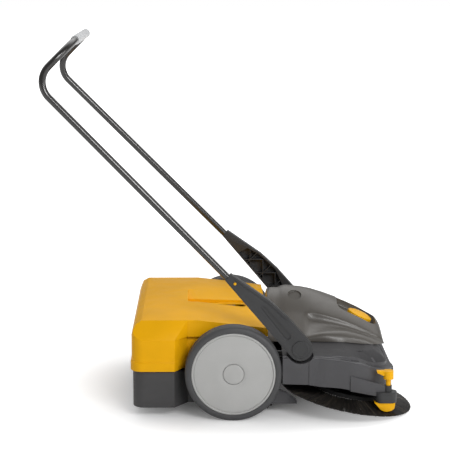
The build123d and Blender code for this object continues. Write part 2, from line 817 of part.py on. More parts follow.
with BuildPart() as hopper_cover:
    add(hopper_form(0).part)
    add(hopper_form(wall).part, mode=Mode.SUBTRACT)
    # Open underside and open front mouth
    with BuildSketch(Plane.XY.offset(hopper_seam_z - 1)):
        with BuildLine():
            add(hopper_plan(wall, hopper_inner_y, 48 - wall))
        make_face()
    extrude(amount=wall + 2, mode=Mode.SUBTRACT)
    with BuildSketch(Plane.YZ.offset(40)):
        with Locations((0, 165)):
            Rectangle(2 * (hopper_inner_y - 8), 70)
    extrude(amount=20, mode=Mode.SUBTRACT)
    # Grip recess: its floor slopes down to a step, with the finger slot in front of it
    with BuildPart(mode=Mode.PRIVATE) as recess_shell:
        with BuildSketch(Plane.XY.offset(grip_z - wall)):
            with Locations(recess_middle):
                RectangleRounded(recess_size[0] + 2 * wall, recess_size[1] + 2 * wall, 20)
        extrude(amount=40)
        add(hopper_form(0).part, mode=Mode.INTERSECT)
        add(recess_band(under_floor).part, mode=Mode.SUBTRACT)
    add(recess_shell.part)
    with BuildPart(mode=Mode.PRIVATE) as recess_space:
        with BuildSketch(Plane.XY.offset(grip_z)):
            with Locations(recess_middle):
                RectangleRounded(*recess_size, 17)
        extrude(amount=40)
        add(recess_band(over_floor).part, mode=Mode.INTERSECT)
    add(recess_space.part, mode=Mode.SUBTRACT)
    with BuildSketch(Plane.XY.offset(grip_z - 10)):
        with Locations((0, -57)):
            SlotOverall(94, 52)
    extrude(amount=12, mode=Mode.SUBTRACT)
write(hopper_cover, "hopper_cover")

bin_floor_z = 30.0


def bin_plan(inset, front):
    """Plan outline of the bin, set in a little from the cover's edge."""
    rear = hopper_rear_x + 6 + inset
    side_y = hopper_side_y - 8 - inset
    narrow_y = hopper_inner_y - 3 - inset
    with BuildLine() as outline:
        FilletPolyline((-158, -side_y), (rear, -side_y), (rear, side_y), (-158, side_y), radius=34)
        Polyline((-158, side_y), (-121, narrow_y), (front, narrow_y), (front, -narrow_y),
                 (-121, -narrow_y), (-158, -side_y))
    return outline.line


with BuildPart() as hopper_bin:
    with BuildSketch(Plane.XY.offset(bin_floor_z)):
        with BuildLine():
            add(bin_plan(0, 48))
        make_face()
    extrude(amount=hopper_seam_z - bin_floor_z)
    with BuildSketch(Plane.XY.offset(bin_floor_z + wall)):
        with BuildLine():
            add(bin_plan(wall, 48 - wall))
        make_face()
    extrude(amount=hopper_seam_z - bin_floor_z, mode=Mode.SUBTRACT)
    with BuildSketch(Plane.YZ.offset(40)):
        with Locations((0, 100)):
            Rectangle(2 * (hopper_inner_y - 11), 90)
    extrude(amount=20, mode=Mode.SUBTRACT)
write(hopper_bin, "hopper_bin")

with BuildPart() as hopper_lip:
    with BuildSketch(side_slab(1, -236, 236)):
        with Locations((49.2, 39)):
            Rectangle(2.4, 26)
    extrude(amount=472)
write(hopper_lip, "hopper_lip")

with BuildPart() as hopper_handle:
    with BuildSketch(Plane.XY.offset(grip_z - wall - 14)):
        with Locations((4, -57)):
            Rectangle(26, 70)
    extrude(amount=14)
write(hopper_handle, "hopper_handle")

# --- Edge presser at the front right corner -----------------------------------------------------
barrel_foot_z = 54.0
barrel_top_z = 84.0
collar_top_z = 101.0
knob_foot_z = 120.0
knob_top_z = 143.5
pin_radius = 5.0
presser_frame = upright_frame(presser_x, presser_y)
with BuildPart() as presser_bracket:
    with BuildSketch(Plane.XY.offset(60)):
        with BuildLine():
            Polyline((331, -338), (331, -334.8), (350, -333.2), (412, -325), (428, -320),
                     (428, -331.5), close=True)
        make_face()
    extrude(amount=80)
    with BuildSketch(side_slab(-1, 300, 360)):
        with BuildLine():
            Polyline((320, 87), (331, 87), (402, 72), (440, 64), (440, 97), (331, 131), (320, 131), close=True)
        make_face()
    extrude(amount=60, mode=Mode.INTERSECT)
    with BuildSketch(Plane.XY.offset(barrel_foot_z)):
        with Locations((presser_x - 6, presser_y)):
            SlotOverall(59, 36)
    extrude(amount=barrel_top_z - barrel_foot_z)
    add(turned(presser_frame, ring(barrel_top_z, collar_top_z, 0, 10)).part)
    with BuildSketch(Plane.XY.offset(barrel_foot_z - 2)):
        with Locations((presser_x, presser_y)):
            Circle(pin_radius + running_gap)
    extrude(amount=80, mode=Mode.SUBTRACT)
write(presser_bracket, "presser_bracket")

with BuildPart() as presser_knob:
    add(turned(presser_frame, ring(barrel_foot_z - 0.5, collar_top_z + 1, 0, pin_radius)).part)
    add(turned(presser_frame, ring(collar_top_z + 0.3, knob_foot_z, 0, 7)).part)
    add(turned(presser_frame, ring(knob_foot_z, knob_top_z, 0, 14)).part)
    # The wing that the fingers turn points to the rear
    with BuildSketch(side_slab(-1, -presser_y - 7, -presser_y + 7)):
        with BuildLine():
            Polyline((404, knob_top_z), (presser_x, knob_top_z), (presser_x, 126), (424, 129), (405, 138),
                     close=True)
        make_face()
    extrude(amount=14)
write(presser_knob, "presser_knob")

with BuildPart() as presser_shoe:
    with BuildSketch(side_slab(-1, -presser_y - 14, -presser_y + 14)):
        with BuildLine():
            shoe_top = barrel_foot_z - 0.5
            Polyline((454, 38), (456, shoe_top), (398, shoe_top), (414, 35))
            ThreePointArc((414, 35), (434, 28), (454, 38))
        make_face()
    extrude(amount=28)
write(presser_shoe, "presser_shoe")

# --- Fasteners ---------------------------------------------------------------------------------
with BuildPart() as hood_screws:
    for x, y in screw_places:
        add(turned(upright_frame(x, y), ring(ledge_z - wall - 4, ledge_z - wall, 0, 6),
                   ring(ledge_z - wall, ledge_z + 13, 0, screw_radius)).part)
write(hood_screws, "hood_screws")
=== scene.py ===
import json
import math
import random

import bmesh
import bpy
import numpy as np
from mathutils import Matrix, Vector


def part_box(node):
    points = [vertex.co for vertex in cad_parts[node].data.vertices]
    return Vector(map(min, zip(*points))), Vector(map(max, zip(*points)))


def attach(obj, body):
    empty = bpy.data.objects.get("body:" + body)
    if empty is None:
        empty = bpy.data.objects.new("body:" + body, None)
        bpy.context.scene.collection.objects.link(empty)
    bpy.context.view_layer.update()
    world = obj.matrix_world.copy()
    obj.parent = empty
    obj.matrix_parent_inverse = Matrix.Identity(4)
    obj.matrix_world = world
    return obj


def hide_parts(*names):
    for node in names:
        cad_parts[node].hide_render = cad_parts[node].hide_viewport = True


# The looks of a push sweeper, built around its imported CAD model. Lengths in the tables of points are
# millimetres in the model's own frame; mm() turns them into metres.
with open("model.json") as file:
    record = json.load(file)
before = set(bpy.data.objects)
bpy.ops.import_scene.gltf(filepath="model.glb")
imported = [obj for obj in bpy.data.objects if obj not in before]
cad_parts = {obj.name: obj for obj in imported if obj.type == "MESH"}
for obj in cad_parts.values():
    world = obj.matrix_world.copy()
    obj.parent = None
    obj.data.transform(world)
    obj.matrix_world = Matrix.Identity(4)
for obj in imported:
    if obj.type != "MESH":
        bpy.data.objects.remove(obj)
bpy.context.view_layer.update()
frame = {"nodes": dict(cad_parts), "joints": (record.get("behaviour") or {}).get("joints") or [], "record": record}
joints = {joint["name"]: joint for joint in frame["joints"]}
SIDES = (("right", -1), ("left", 1))
MM = 0.001


def mm(*values):
    """Metres from millimetres."""
    return Vector([value * MM for value in values])


# --- Places that the frame gives ---------------------------------------------------------------
wheel_axis = Vector(joints["right_wheel_spin"]["pos_m"]) / MM
pivot = Vector(joints["handle_tilt"]["pos_m"]) / MM
dial_origin = Vector(joints["dial_turn"]["pos_m"]) / MM
dial_axis = Vector(joints["dial_turn"]["axis"])
spindle_axis = Vector(joints["right_brush_spin"]["axis"])
presser_axis = Vector(joints["edge_presser_turn"]["pos_m"]) / MM


# --- Materials ---------------------------------------------------------------------------------
def new_material(name):
    """A node material with its main shader, ready to wire."""
    material = bpy.data.materials.new(name)
    material.use_nodes = True
    nodes = material.node_tree.nodes
    return material, nodes, material.node_tree.links, nodes["Principled BSDF"]


def noise(nodes, links, scale, detail=3.0, stretch=(1, 1, 1)):
    """Noise in the object's own coordinates, stretched along an axis where asked."""
    place = nodes.new("ShaderNodeTexCoord")
    mapping = nodes.new("ShaderNodeMapping")
    mapping.inputs["Scale"].default_value = stretch
    texture = nodes.new("ShaderNodeTexNoise")
    texture.inputs["Scale"].default_value = scale
    texture.inputs["Detail"].default_value = detail
    links.new(place.outputs["Object"], mapping.inputs["Vector"])
    links.new(mapping.outputs["Vector"], texture.inputs["Vector"])
    return texture.outputs["Fac"]


def spread(nodes, links, value, low, high):
    """Maps the middle of a noise to low..high."""
    node = nodes.new("ShaderNodeMapRange")
    node.inputs["From Min"].default_value = 0.3
    node.inputs["From Max"].default_value = 0.7
    node.inputs["To Min"].default_value = low
    node.inputs["To Max"].default_value = high
    links.new(value, node.inputs["Value"])
    return node.outputs["Result"]


def tinted(nodes, links, value, dark, light):
    """Colour between two tones, by a noise."""
    ramp = nodes.new("ShaderNodeValToRGB")
    ramp.color_ramp.elements[0].position = 0.3
    ramp.color_ramp.elements[1].position = 0.7
    ramp.color_ramp.elements[0].color = (*dark, 1)
    ramp.color_ramp.elements[1].color = (*light, 1)
    links.new(value, ramp.inputs["Fac"])
    return ramp.outputs["Color"]


def scaled(colour, factor):
    """A colour made lighter or darker by a factor."""
    return tuple(min(1.0, channel * factor) for channel in colour)


def edge_wear(nodes, links, colour, rubbed, amount):
    """Lightens the convex edges, where hands and dust rub the surface."""
    geometry = nodes.new("ShaderNodeNewGeometry")
    ramp = nodes.new("ShaderNodeMapRange")
    ramp.inputs["From Min"].default_value = 0.52
    ramp.inputs["From Max"].default_value = 0.62
    ramp.inputs["To Max"].default_value = amount
    links.new(geometry.outputs["Pointiness"], ramp.inputs["Value"])
    mix = nodes.new("ShaderNodeMix")
    mix.data_type = "RGBA"
    links.new(ramp.outputs["Result"], mix.inputs["Factor"])
    links.new(colour, mix.inputs["A"])
    mix.inputs["B"].default_value = (*rubbed, 1)
    return mix.outputs["Result"]


def moulded(name, colour, rough, grain=1800, bump=0.08, mottle=0.06, worn=0.25, coat=0.0, shine=0.5):
    """Moulded plastic or rubber: fine grain, soft flow marks in tone and gloss, and lighter edges."""
    material, nodes, links, shader = new_material(name)
    cloud = noise(nodes, links, 9.0, 4.0)
    tone = tinted(nodes, links, cloud, scaled(colour, 1 - mottle), scaled(colour, 1 + mottle))
    worn_tone = edge_wear(nodes, links, tone, scaled(colour, 1.5), worn)
    links.new(worn_tone, shader.inputs["Base Color"])
    streaks = noise(nodes, links, 26.0, 5.0, (1, 1, 3))
    links.new(spread(nodes, links, streaks, rough * 0.88, min(1.0, rough * 1.14)), shader.inputs["Roughness"])
    relief = nodes.new("ShaderNodeBump")
    relief.inputs["Strength"].default_value = bump
    relief.inputs["Distance"].default_value = 0.0004
    links.new(noise(nodes, links, grain, 2.0), relief.inputs["Height"])
    links.new(relief.outputs["Normal"], shader.inputs["Normal"])
    shader.inputs["Specular IOR Level"].default_value = shine
    shader.inputs["Coat Weight"].default_value = coat
    shader.inputs["Coat Roughness"].default_value = 0.26
    return material


def drawn_steel(name, colour, rough):
    """Zinc-plated or drawn steel with fine marks round its axis and a slight bloom."""
    material, nodes, links, shader = new_material(name)
    cloud = noise(nodes, links, 30.0, 4.0)
    links.new(tinted(nodes, links, cloud, scaled(colour, 0.85), scaled(colour, 1.1)),
              shader.inputs["Base Color"])
    marks = noise(nodes, links, 400.0, 3.0, (1, 0.05, 1))
    links.new(spread(nodes, links, marks, rough * 0.8, rough * 1.3), shader.inputs["Roughness"])
    relief = nodes.new("ShaderNodeBump")
    relief.inputs["Strength"].default_value = 0.12
    relief.inputs["Distance"].default_value = 0.0002
    links.new(marks, relief.inputs["Height"])
    links.new(relief.outputs["Normal"], shader.inputs["Normal"])
    shader.inputs["Metallic"].default_value = 1.0
    return material


YELLOW = moulded("yellow moulding", (0.86, 0.425, 0.003), 0.42, 1500, 0.05, 0.05, 0.1, shine=0.12)
TRIM = moulded("yellow trim", (0.86, 0.43, 0.003), 0.36, 1500, 0.04, 0.04, 0.1, shine=0.2)
DARK = moulded("dark moulding", (0.074, 0.073, 0.077), 0.34, 1900, 0.10, 0.08, 0.3, shine=0.3)
ARM = moulded("arm moulding", (0.044, 0.044, 0.045), 0.38, 1900, 0.10, 0.08, 0.3, shine=0.3)
# Deck colour darker than the housing's: painted shade on its up-facing faces; the rougher grain is the surface's
# own.
SHELF_PAINTED_SHADE = moulded("grained deck painted darker as shade", (0.046, 0.045, 0.047), 0.46, 1900, 0.12, 0.08, 0.5, shine=0.12)
# Paler brown for every ninth bristle strand.
PALE_BRISTLE = moulded("paler brownish bristle nylon", (0.10, 0.085, 0.065), 0.4, 900, 0.05, 0.4, 0.0)
# Near black for the cut faces of recesses and grooves: painted shade.
HOLLOW_PAINTED_SHADE = moulded("near black moulding painted as hollow shade", (0.014, 0.014, 0.014), 0.5, 1900, 0.12, 0.08, 0.2, shine=0.2)
PLATE = moulded("brush plate", (0.016, 0.016, 0.016), 0.6, 1900, 0.12, 0.10, 0.2, shine=0.15)
BIN = moulded("bin moulding", (0.055, 0.054, 0.055), 0.55, 1700, 0.14, 0.10, 0.3)
HOOD = moulded("hood moulding", (0.078, 0.070, 0.060), 0.42, 2000, 0.05, 0.05, 0.10, coat=0.35)
# Dark brown for the dial's recess and the floor of its notch: painted shade.
RECESS_PAINTED_SHADE = moulded("dark brown moulding painted as recess shade", (0.040, 0.034, 0.028), 0.5, 1800, 0.12, 0.08, 0.2, shine=0.25)
DISC = moulded("wheel disc moulding", (0.43, 0.43, 0.42), 0.45, 1600, 0.06, 0.05, 0.15)
TYRE = moulded("tyre rubber", (0.060, 0.060, 0.062), 0.55, 1300, 0.2, 0.12, 0.25)
BRISTLE = moulded("bristle nylon", (0.022, 0.020, 0.019), 0.36, 900, 0.05, 0.5, 0.0)
TUFT = moulded("tuft roots", (0.22, 0.20, 0.16), 0.6, 900, 0.1, 0.2, 0.0)
# Pale grey on the crossbar's sleeve stands in for a bright highlight on the black handle: painted highlight.
GRIP_PAINTED_HIGHLIGHT = moulded("grip sleeve painted pale as highlight", (0.66, 0.67, 0.68), 0.5, 1400, 0.1, 0.04, 0.0)
RUBBER = moulded("black rubber", (0.022, 0.022, 0.022), 0.7, 1500, 0.2, 0.15, 0.1)
NYLON = moulded("natural nylon", (0.62, 0.60, 0.54), 0.45, 1200, 0.05, 0.06, 0.1)
TUBE = moulded("tube powder coat", (0.012, 0.011, 0.010), 0.20, 2600, 0.03, 0.10, 0.2, coat=0.8)
STEEL = drawn_steel("plated steel", (0.55, 0.55, 0.54), 0.32)

SLOT_LOOKS = {
    "tyre": TYRE, "wheel_grey": DISC, "dark_plastic": DARK, "gear_plastic": NYLON, "steel": STEEL,
    "belt_rubber": RUBBER, "bristle": BRISTLE, "lip_rubber": RUBBER, "hood_plastic": HOOD,
    "yellow_plastic": YELLOW, "tube_paint": TUBE, "grip_plastic": GRIP_PAINTED_HIGHLIGHT,
}
node_slots = {row["node"]: row["material_slot"] for row in frame["record"]["subparts"]}


def dress_cad_nodes():
    """Gives each CAD node that stays in view its slot's material."""
    for name, node in frame["nodes"].items():
        node.data.materials.clear()
        node.data.materials.append(SLOT_LOOKS[node_slots[name]])


# --- Mesh helpers ------------------------------------------------------------------------------
def piece_from(name, vertices, faces):
    """A mesh object from points in millimetres."""
    mesh = bpy.data.meshes.new(name)
    mesh.from_pydata([mm(*v) for v in vertices], [], faces)
    mesh.update()
    piece = bpy.data.objects.new(name, mesh)
    bpy.context.scene.collection.objects.link(piece)
    return piece


def apply(piece, kind, **settings):
    """Adds one modifier and applies it."""
    modifier = piece.modifiers.new(kind.lower(), kind)
    for key, value in settings.items():
        setattr(modifier, key, value)
    bpy.context.view_layer.objects.active = piece
    bpy.ops.object.modifier_apply(modifier=modifier.name)
    return piece


def smooth(piece, degrees=35):
    """Smooth shading with sharp edges kept above an angle."""
    bpy.ops.object.select_all(action="DESELECT")
    piece.select_set(True)
    bpy.context.view_layer.objects.active = piece
    bpy.ops.object.shade_smooth_by_angle(angle=math.radians(degrees))
    return piece


def rounded(piece, width, degrees=28, segments=3):
    """Rounds the edges that turn by more than an angle."""
    apply(piece, "BEVEL", width=width * MM, segments=segments, limit_method="ANGLE",
          angle_limit=math.radians(degrees), harden_normals=False, miter_outer="MITER_ARC")
    return piece


def combine(piece, other, how):
    """A boolean between two pieces; the second one is used up."""
    apply(piece, "BOOLEAN", object=other, operation=how, solver="EXACT")
    bpy.data.objects.remove(other)
    return piece


def outward(piece):
    """Makes the normals consistent and removes doubled points."""
    work = bmesh.new()
    work.from_mesh(piece.data)
    bmesh.ops.remove_doubles(work, verts=work.verts, dist=0.02 * MM)
    bmesh.ops.recalc_face_normals(work, faces=work.faces)
    work.to_mesh(piece.data)
    work.free()
    return piece


def settle(piece, body, slot, material, *nodes):
    """Dresses a finished piece, hangs it on its body and hides the CAD nodes it stands for."""
    piece.data.materials.clear()
    piece.data.materials.append(material)
    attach(piece, body)
    if nodes:
        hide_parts(*nodes)
    return piece


def two_tone(piece, second, test):
    """Gives the faces that pass a test of (centre in mm, normal) a second material."""
    piece.data.materials.append(second)
    for face in piece.data.polygons:
        if test(face.center / MM, face.normal):
            face.material_index = len(piece.data.materials) - 1
    return piece


def across(direction):
    """Two unit directions square to the given one."""
    along = Vector(direction).normalized()
    helper = Vector((0, 0, 1)) if abs(along.z) < 0.9 else Vector((1, 0, 0))
    first = along.cross(helper).normalized()
    return along, first, along.cross(first).normalized()


def lathe(name, profile, origin, direction, segments=96):
    """Closed solid turned from a profile of (along, radius) points; radius 0 ends lie on the axis."""
    along, first, second = across(direction)
    origin = Vector(origin)
    vertices, faces, rows = [], [], []
    for step, radius in profile:
        if radius <= 0:
            rows.append([len(vertices)] * segments)
            vertices.append(origin + along * step)
            continue
        rows.append(list(range(len(vertices), len(vertices) + segments)))
        for index in range(segments):
            angle = 2 * math.pi * index / segments
            vertices.append(origin + along * step
                            + (first * math.cos(angle) + second * math.sin(angle)) * radius)
    pairs = list(zip(rows, rows[1:]))
    if profile[0][1] > 0:
        pairs.append((rows[-1], rows[0]))
    for low, high in pairs:
        for index in range(segments):
            after = (index + 1) % segments
            corners = list(dict.fromkeys((low[index], low[after], high[after], high[index])))
            if len(corners) > 2:
                faces.append(corners)
    return outward(piece_from(name, vertices, faces))


def prism(name, outline, lift):
    """Closed solid from an outline in one plane, pushed along lift."""
    count = len(outline)
    vertices = [Vector(p) for p in outline] + [Vector(p) + Vector(lift) for p in outline]
    faces = [list(range(count)), list(range(2 * count - 1, count - 1, -1))]
    faces += [[i, (i + 1) % count, count + (i + 1) % count, count + i] for i in range(count)]
    return outward(piece_from(name, vertices, faces))


def arc(centre, radius, start, end, steps):
    """Points of an arc in a plane, angles in degrees."""
    return [
        (centre[0] + radius * math.cos(math.radians(start + (end - start) * i / steps)),
         centre[1] + radius * math.sin(math.radians(start + (end - start) * i / steps)))
        for i in range(steps + 1)
    ]


def planed(piece, *cuts):
    """Cuts a closed solid with planes, each (point, outward normal), and closes it again."""
    work = bmesh.new()
    work.from_mesh(piece.data)
    for point, normal in cuts:
        geometry = work.verts[:] + work.edges[:] + work.faces[:]
        result = bmesh.ops.bisect_plane(work, geom=geometry, plane_co=mm(*point), plane_no=Vector(normal),
                                        clear_outer=True, dist=1e-7)
        edges = [g for g in result["geom_cut"] if isinstance(g, bmesh.types.BMEdge)]
        bmesh.ops.contextual_create(work, geom=edges)
    bmesh.ops.recalc_face_normals(work, faces=work.faces)
    work.to_mesh(piece.data)
    work.free()
    return piece


def joined(name, pieces):
    """One piece from several."""
    bpy.ops.object.select_all(action="DESELECT")
    for piece in pieces:
        piece.select_set(True)
    bpy.context.view_layer.objects.active = pieces[0]
    bpy.ops.object.join()
    pieces[0].name = name
    return pieces[0]


def grid_surface(name, rows, closed=False):
    """Quad surface through rows of points of equal length."""
    width = len(rows[0])
    vertices = [p for row in rows for p in row]
    faces = []
    for r in range(len(rows) - 1):
        for c in range(width if closed else width - 1):
            after = (c + 1) % width
            faces.append((r * width + c, r * width + after, (r + 1) * width + after, (r + 1) * width + c))
    return piece_from(name, vertices, faces)


def at(x, line):
    """Point of a character line at a station x: y and z between the line's own points."""
    xs = [p[0] for p in line]
    return (x, float(np.interp(x, xs, [p[1] for p in line])), float(np.interp(x, xs, [p[2] for p in line])))


def refined(node, name, width=1.2, degrees=28, segments=3):
    """A copy of a CAD node with its sharp edges rounded as a mould would leave them."""
    piece = piece_of(frame["nodes"][node], name)
    return rounded(piece, width, degrees, segments)


# --- Wheels ------------------------------------------------------------------------------------
def make_wheels():
    """Tyres, discs and hub caps of both wheels."""
    tyre_radius = (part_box("right_tyre")[1].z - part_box("right_tyre")[0].z) / 2 / MM
    face = -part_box("right_tyre")[0].y / MM
    inner = -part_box("right_tyre")[1].y / MM
    seat = 117.0
    groove = 1.6
    tread = [(inner, seat - 5), (face - 6, seat - 5), (face - 6, seat + 0.2), (face - 0.8, seat + 0.2)]
    tread += [(face, seat + 2.0), (face, tyre_radius - 10), (face - 1.6, tyre_radius - 4.5)]
    tread += [(face - 5, tyre_radius - 1.2), (face - 8, tyre_radius)]
    for y in (face - 15, inner + 17):
        tread += [(y + groove, tyre_radius), (y + groove / 2, tyre_radius - 2),
                  (y - groove / 2, tyre_radius - 2), (y - groove, tyre_radius)]
    tread += [(inner + 8, tyre_radius), (inner + 4, tyre_radius - 1.4), (inner, tyre_radius - 9)]
    disc = [
        (inner + 2, 8.2), (inner + 2, 25), (face - 7, 31), (face - 6, seat - 15), (face - 8, seat - 8.5),
        (inner + 3, seat - 8), (inner + 3, seat - 5), (face - 6.4, seat - 5), (face - 6.4, seat),
        (face - 2.4, seat), (face - 0.9, seat - 1.2), (face - 0.4, seat - 2.6), (face - 0.4, seat - 4.6),
        (face - 0.9, seat - 5.4), (face - 3.6, seat - 6.2), (face - 3.6, seat - 7.0),
        (face - 2.4, seat - 8.2),
        (face - 2.1, seat - 11), (face - 2.4, seat - 40), (face - 2.2, 50), (face - 2.0, 31.4),
        (face - 2.6, 30.2), (face - 5.2, 29.8), (face - 5.2, 22), (face - 16, 22), (face - 16, 8.2),
    ]
    cap = [
        (face - 11, 0), (face - 11, 21.8), (face - 5.1, 21.8), (face - 5.1, 28.2), (face - 1.9, 28.0),
        (face - 1.3, 27.2), (face - 1.1, 26), (face - 0.9, 14), (face - 0.8, 0),
    ]
    for side, sign in SIDES:
        out = (0, sign, 0)
        centre = (wheel_axis.x, 0, wheel_axis.z)
        tyre = lathe(f"{side}_tyre_rubber", tread, centre, out, 160)
        settle(smooth(tyre, 40), f"{side}_wheel", "tyre", TYRE, f"{side}_tyre")
        plate = lathe(f"{side}_disc_moulding", disc, centre, out, 160)
        settle(smooth(plate, 28), f"{side}_wheel", "wheel_grey", DISC, f"{side}_wheel_disc")
        cover = lathe(f"{side}_cap_moulding", cap, centre, out, 96)
        planed(cover, ((0, 0, wheel_axis.z - 26.6), (0, 0, -1)))
        settle(smooth(cover, 28), f"{side}_wheel", "wheel_grey", DISC, f"{side}_hub_cap")


# --- Handle ------------------------------------------------------------------------------------
def make_handle():
    """Grip, arms, boss caps and snap buttons."""
    grip_low, grip_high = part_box("handle_grip")
    middle = (grip_low + grip_high) / 2 / MM
    half = (grip_high.y - grip_low.y) / 2 / MM
    radius = (grip_high.z - grip_low.z) / 2 / MM
    sleeve = [(-half, 10.2), (half, 10.2), (half, radius - 1), (half - 1.5, radius), (1 - half, radius),
              (-half, radius - 1)]
    # The sleeve is pale grey, a painted highlight along the crossbar.
    grip = lathe("grip_sleeve", sleeve, (middle.x, 0, middle.z), (0, 1, 0), 64)
    settle(smooth(grip), "handle", "grip_plastic", GRIP_PAINTED_HIGHLIGHT, "handle_grip")

    for side, sign in SIDES:
        arm = refined(f"{side}_handle_arm", f"{side}_arm_moulding", 1.6)
        outer = 325 * sign
        # Tapered recess along the outer face, its cut faces near black as painted shade
        start, end = Vector((88, 324)), Vector((157, 241))
        along = (end - start).normalized()
        outline = []
        for centre, size, turn in ((start, 5.5, 90), (end, 8.5, -90)):
            heading = math.degrees(math.atan2(along.y, along.x)) + turn
            outline += arc(centre, size, heading, heading + 180, 8)
        slab = [(x, outer + 5 * sign, z) for x, z in outline]
        arm.data.materials.clear()
        arm.data.materials.append(ARM)
        cutter = prism("cutter", slab, (0, -7.5 * sign, 0))
        cutter.data.materials.append(HOLLOW_PAINTED_SHADE)
        combine(arm, cutter, "DIFFERENCE")
        # Fine groove that follows the upper edge, its faces near black as painted shade
        groove = [(6, 402), (104, 332), (150, 288), (152, 290), (105, 334), (7, 404)]
        slab = [(x, outer + 5 * sign, z) for x, z in groove]
        cutter = prism("cutter", slab, (0, -6.2 * sign, 0))
        cutter.data.materials.append(HOLLOW_PAINTED_SHADE)
        combine(arm, cutter, "DIFFERENCE")
        smooth(arm, 30)
        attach(arm, "handle")
        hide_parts(f"{side}_handle_arm")

        cap = [(324.6, 0), (324.6, 24.6), (326.6, 24.6), (327.7, 23.4), (328, 22), (328, 19), (327.4, 18.4),
               (327.4, 0)]
        lid = lathe(f"{side}_boss_cap", cap, (pivot.x, 0, pivot.z), (0, sign, 0), 80)
        settle(smooth(lid, 28), "handle", "dark_plastic", ARM, f"{side}_arm_cap")

        low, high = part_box(f"{side}_snap_button")
        centre = (low + high) / 2 / MM
        button = [(312, 0), (312, 3.95), (326, 3.95), (327.3, 3.2), (327.9, 1.6), (328, 0)]
        knob = lathe(f"{side}_button_pin", button, (centre.x, 0, centre.z), (0, sign, 0), 40)
        settle(smooth(knob), f"{side}_button", "yellow_plastic", TRIM, f"{side}_snap_button")


# --- Hopper ------------------------------------------------------------------------------------
RIB_TOP = 160.0
RIB_STEP = 3.0


def piece_of(node, name):
    """A copy of a CAD node to work on, its flat faces merged."""
    piece = bpy.data.objects.new(name, node.data.copy())
    bpy.context.scene.collection.objects.link(piece)
    work = bmesh.new()
    work.from_mesh(piece.data)
    bmesh.ops.remove_doubles(work, verts=work.verts, dist=0.01 * MM)
    bmesh.ops.dissolve_limit(work, angle_limit=math.radians(0.8), verts=work.verts, edges=work.edges)
    work.to_mesh(piece.data)
    work.free()
    if piece.data.has_custom_normals:
        bpy.context.view_layer.objects.active = piece
        bpy.ops.mesh.customdata_custom_splitnormals_clear()
    return piece


def make_hopper():
    """The hopper's cover, its bin and the grip bar in the finger slot."""
    cover = piece_of(frame["nodes"]["hopper_cover"], "hopper_cover_moulding")
    # The foot of the cover stands out as a flange all round its wide rear part
    work = bmesh.new()
    work.from_mesh(cover.data)
    for height in (RIB_TOP, RIB_TOP + 4):
        geometry = work.verts[:] + work.edges[:] + work.faces[:]
        bmesh.ops.bisect_plane(work, geom=geometry, plane_co=mm(0, 0, height), plane_no=Vector((0, 0, 1)),
                               dist=1e-7)
    for vertex in work.verts:
        if vertex.co.z > (RIB_TOP + 2) * MM:
            vertex.co.y *= 1 - RIB_STEP / 310
            if vertex.co.x < -0.121:
                vertex.co.x = -0.121 + (vertex.co.x + 0.121) * (1 - RIB_STEP / 159.5)
    work.to_mesh(cover.data)
    work.free()
    rounded(cover, 2.6, 16, 3)
    settle(smooth(cover, 30), "hopper", "yellow_plastic", YELLOW, "hopper_cover")
    tray = refined("hopper_bin", "hopper_bin_moulding", 2.4, 28)
    settle(smooth(tray, 30), "hopper", "dark_plastic", BIN, "hopper_bin")
    bar = refined("hopper_handle", "grip_bar", 2.0)
    settle(smooth(bar, 30), "hopper", "dark_plastic", DARK, "hopper_handle")


# --- Base housing ------------------------------------------------------------------------------
GUARD_CENTRE = Vector((323, 197))
GUARD_RADIUS = 138.0
PIVOT_POCKET = 40.0
POCKET_FLOOR = 293.5
RING_REACH = 75.0


def curve_of(*points):
    """A function of x that runs straight from each given point to the next."""
    xs = [p[0] for p in points]
    zs = [p[1] for p in points]
    return lambda x: float(np.interp(x, xs, zs))


deck_z = curve_of((143, 187), (317, 187), (370, 177), (447, 166), (461, 163))
edge_z = curve_of((143, 185.5), (317, 185), (345, 180), (370, 171), (400, 158), (430, 147), (461, 141))
edge_inset = curve_of((143, 10), (330, 10), (352, 17), (376, 28), (400, 36), (430, 34), (461, 15))
step_z = curve_of((143, 180), (250, 180), (300, 176), (325, 172), (370, 161), (407, 143), (440, 130),
                  (461, 124))
foot_z = curve_of((143, 106), (220, 103), (316, 93), (403, 66), (461, 62))
panel_inset = curve_of((143, 5.0), (214, 5.0), (217, 2.8), (242, 2.8), (252, 0), (461, 0))


def plan_stations():
    """Points and outward normals of the housing's plan outline, from the right rear round the nose."""
    half = [(x, -335, 0, -1) for x in (143, 160, 180, 200, 214, 217, 232, 242, 252, 266, 284, 303, 323)]
    for degrees in range(-86, 1, 4):
        c, s = math.cos(math.radians(degrees)), math.sin(math.radians(degrees))
        half.append((GUARD_CENTRE.x + GUARD_RADIUS * c, -GUARD_CENTRE.y + GUARD_RADIUS * s, c, s))
    half += [(461, y, 1, 0) for y in (-170, -140, -105, -70, -35, 0)]
    return half + [(x, -y, nx, -ny) for x, y, nx, ny in reversed(half[:-1])]


